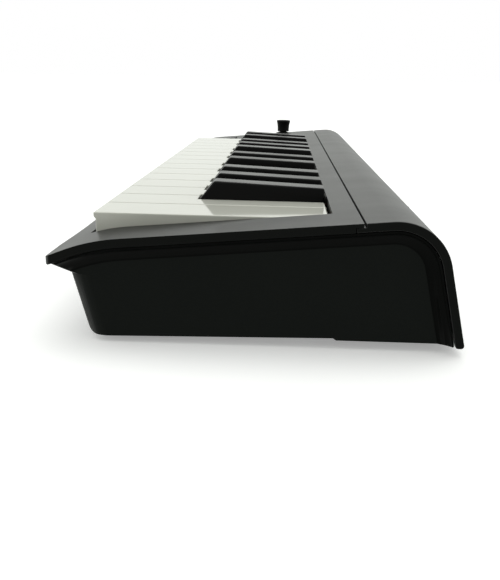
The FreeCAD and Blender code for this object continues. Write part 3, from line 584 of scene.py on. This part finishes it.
first = black_centres[0]
key = key_blank("black_01", black_side, first - BLACK_HALF, first + BLACK_HALF)
for side in (-1, 1):
    lean = [(first + side * across, -40, height) for across, height in (
        (BLACK_HALF, KEY_TOP), (9, KEY_TOP), (9, 50), (4.1, 50),
        (BLACK_TOP_HALF, KEY_TOP + BLACK_NOSE_RISE))]
    combine(key, prism("lean_tool", lean, (0, 80, 0)))
trim_tail(key, first - BLACK_HALF, first + BLACK_HALF, first)
soften(key, 0.65, 4)
inside = BLACK_HALF - BLACK_WALL
black_pieces[1] = open_underside(key, [
    (first - inside, BLACK_HOLLOW_FRONT), (first + inside, BLACK_HOLLOW_FRONT),
    (first + inside, KEY_REAR - BLACK_WALL), (first - inside, KEY_REAR - BLACK_WALL)], first)
for number, x in enumerate(black_centres[1:], start=2):
    black_pieces[number] = copied(key, "black_%02d" % number, x - first)

for colour, pieces in (("white", white_pieces), ("black", black_pieces)):
    for number, key in pieces.items():
        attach(key, "%s_key_%02d_body" % (colour, number))
        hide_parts("%s_key_%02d" % (colour, number))

# ------------------------------------------------------------------ joystick cap
# Half section as radius and height: foot, waist, flared rim, dished top.
CAP_PROFILE = [
    (0.001, 43.3), (4.2, 43.3), (4.37, 43.5), (4.34, 45.0), (4.5, 47.4), (4.82, 49.4), (5.17, 50.6),
    (5.16, 51.0), (5.0, 51.3), (4.7, 51.47), (4.4, 51.5), (4.0, 51.28), (3.5, 51.0), (2.4, 50.92),
    (0.001, 50.9)]
cap = turned("stick_cap", CAP_PROFILE, STICK[0], STICK[1])
soften(cap, 0)
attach(cap, "joystick_stick_body")
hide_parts("joystick_cap")


# ------------------------------------------------------------------ finishes
def effect(name, inputs, outputs):
    """An empty node group with its sockets, for an effect that several finishes share."""
    tree = bpy.data.node_groups.new(name, "ShaderNodeTree")
    for label, value in inputs:
        socket = tree.interface.new_socket(label, in_out="INPUT", socket_type="NodeSocketFloat")
        socket.default_value = value
    for label in outputs:
        tree.interface.new_socket(label, in_out="OUTPUT", socket_type="NodeSocketFloat")
    return tree, tree.nodes.new("NodeGroupInput"), tree.nodes.new("NodeGroupOutput")


def calculate(tree, operation, first, second):
    """One sum on two numbers or sockets."""
    node = tree.nodes.new("ShaderNodeMath")
    node.operation = operation
    for socket, value in zip(node.inputs, (first, second)):
        if isinstance(value, (int, float)):
            socket.default_value = value
        else:
            tree.links.new(value, socket)
    return node.outputs["Value"]


def spread(tree, value, low, high, to_low=0.0, to_high=1.0):
    """A value stretched from one range to another."""
    node = tree.nodes.new("ShaderNodeMapRange")
    for label, number in (("From Min", low), ("From Max", high), ("To Min", to_low), ("To Max", to_high)):
        node.inputs[label].default_value = number
    tree.links.new(value, node.inputs["Value"])
    return node.outputs["Result"]


def cloud(tree, scale, detail=3.0, stretch=(1, 1, 1)):
    """Noise on the piece; scale is a number or a socket, in waves per metre."""
    place = tree.nodes.new("ShaderNodeTexCoord")
    mapping = tree.nodes.new("ShaderNodeMapping")
    mapping.inputs["Scale"].default_value = stretch
    noise = tree.nodes.new("ShaderNodeTexNoise")
    noise.inputs["Detail"].default_value = detail
    if isinstance(scale, (int, float)):
        noise.inputs["Scale"].default_value = scale
    else:
        tree.links.new(scale, noise.inputs["Scale"])
    tree.links.new(place.outputs["Object"], mapping.inputs["Vector"])
    tree.links.new(mapping.outputs["Vector"], noise.inputs["Vector"])
    return noise.outputs["Fac"]


# Fine spark-eroded grain of a moulded surface.
grain, grain_in, grain_out = effect("moulded grain", [("Fineness", 2600.0)], ["Height"])
pebble = grain.nodes.new("ShaderNodeTexVoronoi")
grain.links.new(grain.nodes.new("ShaderNodeTexCoord").outputs["Object"], pebble.inputs["Vector"])
grain.links.new(grain_in.outputs["Fineness"], pebble.inputs["Scale"])
rough_part = cloud(grain, calculate(grain, "MULTIPLY", grain_in.outputs["Fineness"], 0.45), 4)
fine_part = calculate(grain, "MULTIPLY", pebble.outputs["Distance"], 0.5)
grain.links.new(calculate(grain, "ADD", fine_part, rough_part), grain_out.inputs["Height"])

# Polished edges where hands and bags have rubbed, lightened in colour; on the black keys this lighter edge
# is a painted highlight standing in for light caught along their top edges.
edges, edges_in, edges_out = effect("rubbed edges and painted edge highlight", [("Width", 0.0006)], ["Mask"])
round_normal = edges.nodes.new("ShaderNodeBevel")
round_normal.samples = 4
edges.links.new(edges_in.outputs["Width"], round_normal.inputs["Radius"])
facing = edges.nodes.new("ShaderNodeVectorMath")
facing.operation = "DOT_PRODUCT"
edges.links.new(round_normal.outputs["Normal"], facing.inputs[0])
edges.links.new(edges.nodes.new("ShaderNodeNewGeometry").outputs["Normal"], facing.inputs[1])
edges.links.new(calculate(edges, "MULTIPLY", spread(edges, facing.outputs["Value"], 0.995, 0.85),
                          spread(edges, cloud(edges, 90.0), 0.35, 0.7)), edges_out.inputs["Mask"])

# Faint dust that settles on what faces up.
dust, dust_in, dust_out = effect("settled dust", [("Amount", 0.5)], ["Mask"])
facing_up = dust.nodes.new("ShaderNodeSeparateXYZ")
dust.links.new(dust.nodes.new("ShaderNodeNewGeometry").outputs["Normal"], facing_up.inputs["Vector"])
drift = calculate(dust, "MULTIPLY", spread(dust, facing_up.outputs["Z"], 0.3, 1.0),
                  spread(dust, cloud(dust, 35.0, 5.0), 0.42, 0.75))
specks = calculate(dust, "MULTIPLY", drift, spread(dust, cloud(dust, 2200.0, 2.0), 0.5, 0.72))
dust.links.new(calculate(dust, "MULTIPLY", specks, dust_in.outputs["Amount"]), dust_out.inputs["Mask"])

# Soft smears left by fingers, longer across the keys than along the case.
smears, smears_in, smears_out = effect("finger smears", [("Size", 60.0)], ["Mask"])
smears.links.new(spread(smears, cloud(smears, smears_in.outputs["Size"], 4.0, (1.0, 0.35, 1.0)), 0.35, 0.7),
                 smears_out.inputs["Mask"])


def finish(name, colour, roughness, metallic=0.0, grain_depth=0.0, fineness=2600.0, edge_wear_and_highlight=0.0, dusty=0.0,
           smear=0.03, tint=0.06, specular=0.5, painted_highlight_colour=None):
    """A surface finish: its own colour and gloss, with the shared effects laid over it."""
    made = bpy.data.materials.new(name)
    made.use_nodes = True
    tree = made.node_tree
    nodes, links = tree.nodes, tree.links
    shader = nodes["Principled BSDF"]
    shader.inputs["Metallic"].default_value = metallic
    shader.inputs["Specular IOR Level"].default_value = specular

    def place(group, **values):
        node = nodes.new("ShaderNodeGroup")
        node.node_tree = group
        for label, value in values.items():
            node.inputs[label].default_value = value
        return node.outputs[0]

    def blend(amount, below, above):
        node = nodes.new("ShaderNodeMix")
        node.data_type = "RGBA"
        links.new(amount, node.inputs["Factor"])
        for socket, value in ((node.inputs[6], below), (node.inputs[7], above)):
            if isinstance(value, tuple):
                socket.default_value = (*value, 1)
            else:
                links.new(value, socket)
        return node.outputs[2]

    mottle = spread(tree, cloud(tree, 45.0, 4.0), 0.3, 0.7)
    darker = tuple(c * (1 - tint) for c in colour)
    lighter = tuple(min(1.0, c * (1 + tint)) for c in colour)
    surface = blend(mottle, darker, lighter)
    gloss = spread(tree, place(smears), 0.0, 1.0, roughness - smear, roughness + smear)
    # Edges lightened in colour: rubbed wear on most finishes, a painted highlight along the top edges on
    # the black keys.
    if edge_wear_and_highlight:
        wear_and_highlight_mask = calculate(tree, "MULTIPLY", place(edges), edge_wear_and_highlight)
        surface = blend(wear_and_highlight_mask, surface, painted_highlight_colour or tuple(min(1.0, c * 1.6 + 0.012) for c in colour))
        gloss = calculate(tree, "SUBTRACT", gloss, calculate(tree, "MULTIPLY", wear_and_highlight_mask, 0.12))
    if dusty:
        film = place(dust, Amount=dusty)
        surface = blend(film, surface, (0.34, 0.33, 0.31))
        gloss = calculate(tree, "ADD", gloss, calculate(tree, "MULTIPLY", film, 0.4))
    links.new(surface, shader.inputs["Base Color"])
    links.new(gloss, shader.inputs["Roughness"])
    if grain_depth:
        relief = nodes.new("ShaderNodeBump")
        relief.inputs["Strength"].default_value = grain_depth
        relief.inputs["Distance"].default_value = 0.00008
        links.new(place(grain, Fineness=fineness), relief.inputs["Height"])
        links.new(relief.outputs["Normal"], shader.inputs["Normal"])
    return made


def coat_with(obj, *made):
    """Give the piece these finishes in place of what it has."""
    obj.data.materials.clear()
    for layer in made:
        obj.data.materials.append(layer)


def finish_faces(obj, layer, wanted):
    """Put one finish on the faces that are wanted and the first on the rest."""
    for face in obj.data.polygons:
        face.material_index = layer if wanted(face) else 0


cover_finish = finish("cover plastic", (0.007, 0.0075, 0.007), 0.36, grain_depth=0.3, edge_wear_and_highlight=0.5,
                      dusty=0.1, smear=0.015, specular=0.33)
tub_finish = finish("tub plastic", (0.0036, 0.0050, 0.0040), 0.5, grain_depth=0.5, fineness=1800,
                    edge_wear_and_highlight=0.25, dusty=0.06, specular=0.1)
white_finish = finish("white key plastic", (0.61, 0.61, 0.55), 0.10, smear=0.035, tint=0.02, specular=0.55)
# The black keys' light grey edge colour (0.11) is a painted highlight: the light caught along the keys' top
# edges.
black_finish = finish("black key plastic", (0.0015, 0.0015, 0.0015), 0.26, grain_depth=0.08, fineness=3200,
                      edge_wear_and_highlight=1.0, dusty=0.03, smear=0.06, specular=0.12, painted_highlight_colour=(0.11, 0.11, 0.105))
stick_finish = finish("stick cap plastic", (0.003, 0.003, 0.003), 0.4, grain_depth=0.3, edge_wear_and_highlight=0.3,
                      specular=0.15)
# Cover end faces: the cover plastic painted darker and given weaker reflection than the tops, painted shade
# on the ends that face the dim side.
shaded_end_finish = finish("cover ends painted darker", (0.0025, 0.003, 0.0025), 0.22, edge_wear_and_highlight=0.3, smear=0.05,
                     specular=0.1)
# Flared band round the tub's end panels: smoother than the grained panel, and painted darker with weaker
# reflection as the shade in its recess.
shaded_border_finish = finish("tub border painted darker", (0.0015, 0.0018, 0.0015), 0.4, edge_wear_and_highlight=0.2, smear=0.04,
                       specular=0.05)
for piece in (cover, rear_cover):
    coat_with(piece, cover_finish, shaded_end_finish)
    # The covers' end faces take the darker copy, their painted shade.
    finish_faces(piece, 1, lambda face: abs(face.normal.x) > 0.9 and abs(face.center.x) > 0.197)
coat_with(tub, tub_finish, shaded_border_finish)
# The flared band takes the darker finish, its painted shade.
finish_faces(tub, 1, lambda face: 0.1942 < abs(face.center.x) < 0.1972 and abs(face.normal.x) > 0.05)
for piece in white_pieces.values():
    coat_with(piece, white_finish)
for piece in black_pieces.values():
    coat_with(piece, black_finish)
coat_with(cap, stick_finish)
# Finishes of the nodes that keep their CAD shape: colour, roughness and what else differs.
INNER = {
    "chassis_plastic": ((0.05, 0.05, 0.055), 0.5, {"grain_depth": 0.2}),
    "axle_steel": ((0.6, 0.6, 0.62), 0.25, {"metallic": 1.0}),
    "spring_steel": ((0.55, 0.55, 0.57), 0.3, {"metallic": 1.0}),
    "circuit_board": ((0.02, 0.12, 0.05), 0.4, {"grain_depth": 0.1, "tint": 0.2}),
    "contact_rubber": ((0.3, 0.3, 0.32), 0.7, {"grain_depth": 0.3}),
    "felt": ((0.35, 0.04, 0.04), 0.95, {"grain_depth": 0.9, "fineness": 1400, "tint": 0.2}),
    "socket_metal": ((0.62, 0.62, 0.64), 0.3, {"metallic": 1.0, "edge_wear_and_highlight": 0.3}),
    "ribbon": ((0.55, 0.55, 0.55), 0.5, {}),
    "stick_plastic": ((0.006, 0.006, 0.006), 0.42, {"grain_depth": 0.25, "edge_wear_and_highlight": 0.3, "dusty": 0.1}),
    "pot_metal": ((0.5, 0.52, 0.5), 0.35, {"metallic": 1.0}),
    "switch_plastic": ((0.03, 0.03, 0.03), 0.5, {"grain_depth": 0.1}),
    "lamp_plastic": ((0.6, 0.1, 0.08), 0.2, {}),
    "foot_rubber": ((0.02, 0.02, 0.02), 0.8, {"grain_depth": 0.5, "fineness": 1500, "dusty": 0.3}),
    "screw_steel": ((0.3, 0.3, 0.31), 0.35, {"metallic": 1.0, "edge_wear_and_highlight": 0.4}),
    "button_plastic": ((0.02, 0.02, 0.021), 0.38, {"grain_depth": 0.2, "edge_wear_and_highlight": 0.4, "dusty": 0.08}),
}
slot_of = {entry["node"]: entry["material_slot"] for entry in frame["record"]["subparts"]}
inner_finish = {name: finish(name.replace("_", " "), colour, roughness, **extra)
                for name, (colour, roughness, extra) in INNER.items()}
for name, obj in frame["nodes"].items():
    if slot_of.get(name) in inner_finish:
        coat_with(obj, inner_finish[slot_of[name]])

# ------------------------------------------------------------------ floor, light, camera
deselect()
bpy.ops.mesh.primitive_plane_add(size=60, location=(0, 0, 0))
floor = bpy.context.object
floor.name = "floor"
floor_finish = finish("floor", (0.9, 0.9, 0.9), 0.9, smear=0.0, tint=0.01, specular=0.1)
coat_with(floor, floor_finish)
floor.visible_glossy = False
glow = floor_finish.node_tree.nodes["Principled BSDF"]
glow.inputs["Emission Color"].default_value = (1, 1, 1, 1)
glow.inputs["Emission Strength"].default_value = 0.3

# Soft daylight that is stronger behind the far end of the case; the backdrop itself is plain white.
world = bpy.data.worlds.new("studio")
bpy.context.scene.world = world
world.use_nodes = True
sky = world.node_tree
soft_light = sky.nodes["Background"]
soft_light.inputs["Color"].default_value = (0.975, 1.0, 0.96, 1)
direction = sky.nodes.new("ShaderNodeTexCoord")
along = sky.nodes.new("ShaderNodeSeparateXYZ")
sky.links.new(direction.outputs["Generated"], along.inputs["Vector"])
sky.links.new(spread(sky, along.outputs["X"], -0.35, 0.75, 1.02, 0.56), soft_light.inputs["Strength"])
backdrop = sky.nodes.new("ShaderNodeBackground")
backdrop.inputs["Color"].default_value = (1, 1, 1, 1)
seen = sky.nodes.new("ShaderNodeLightPath")
either = sky.nodes.new("ShaderNodeMixShader")
sky.links.new(seen.outputs["Is Camera Ray"], either.inputs["Fac"])
sky.links.new(soft_light.outputs["Background"], either.inputs[1])
sky.links.new(backdrop.outputs["Background"], either.inputs[2])
sky.links.new(either.outputs["Shader"], sky.nodes["World Output"].inputs["Surface"])


def light(name, place, aim, size, power):
    """A soft rectangular lamp that faces the aim."""
    data = bpy.data.lights.new(name, "AREA")
    data.shape = "RECTANGLE"
    data.size, data.size_y = size
    data.energy = power
    obj = bpy.data.objects.new(name, data)
    bpy.context.scene.collection.objects.link(obj)
    obj.location = place
    obj.rotation_euler = (Vector(aim) - Vector(place)).to_track_quat("-Z", "Y").to_euler()
    return obj


light("overhead", (-0.3, 0.1, 1.5), (0, 0, 0), (1.6, 1.2), 7)

CAMERA_PLACE = (0.41101, 0.0068, 0.08335)
yaw, pitch, roll = -0.03933, 0.28800, 0.020496
forward = Vector((-math.cos(yaw) * math.cos(pitch), math.sin(yaw) * math.cos(pitch), -math.sin(pitch)))
right = Vector((math.sin(yaw), math.cos(yaw), 0))
up = right.cross(forward)
right_rolled = math.cos(roll) * right + math.sin(roll) * up
up_rolled = -math.sin(roll) * right + math.cos(roll) * up
camera_data = bpy.data.cameras.new("camera")
camera_data.sensor_width = 36
camera_data.lens = 44.76
camera = bpy.data.objects.new("camera", camera_data)
bpy.context.scene.collection.objects.link(camera)
camera.matrix_world = Matrix((
    (right_rolled.x, up_rolled.x, -forward.x, CAMERA_PLACE[0]),
    (right_rolled.y, up_rolled.y, -forward.y, CAMERA_PLACE[1]),
    (right_rolled.z, up_rolled.z, -forward.z, CAMERA_PLACE[2]),
    (0, 0, 0, 1)))
bpy.context.scene.camera = camera
bpy.context.scene.view_settings.view_transform = "Standard"
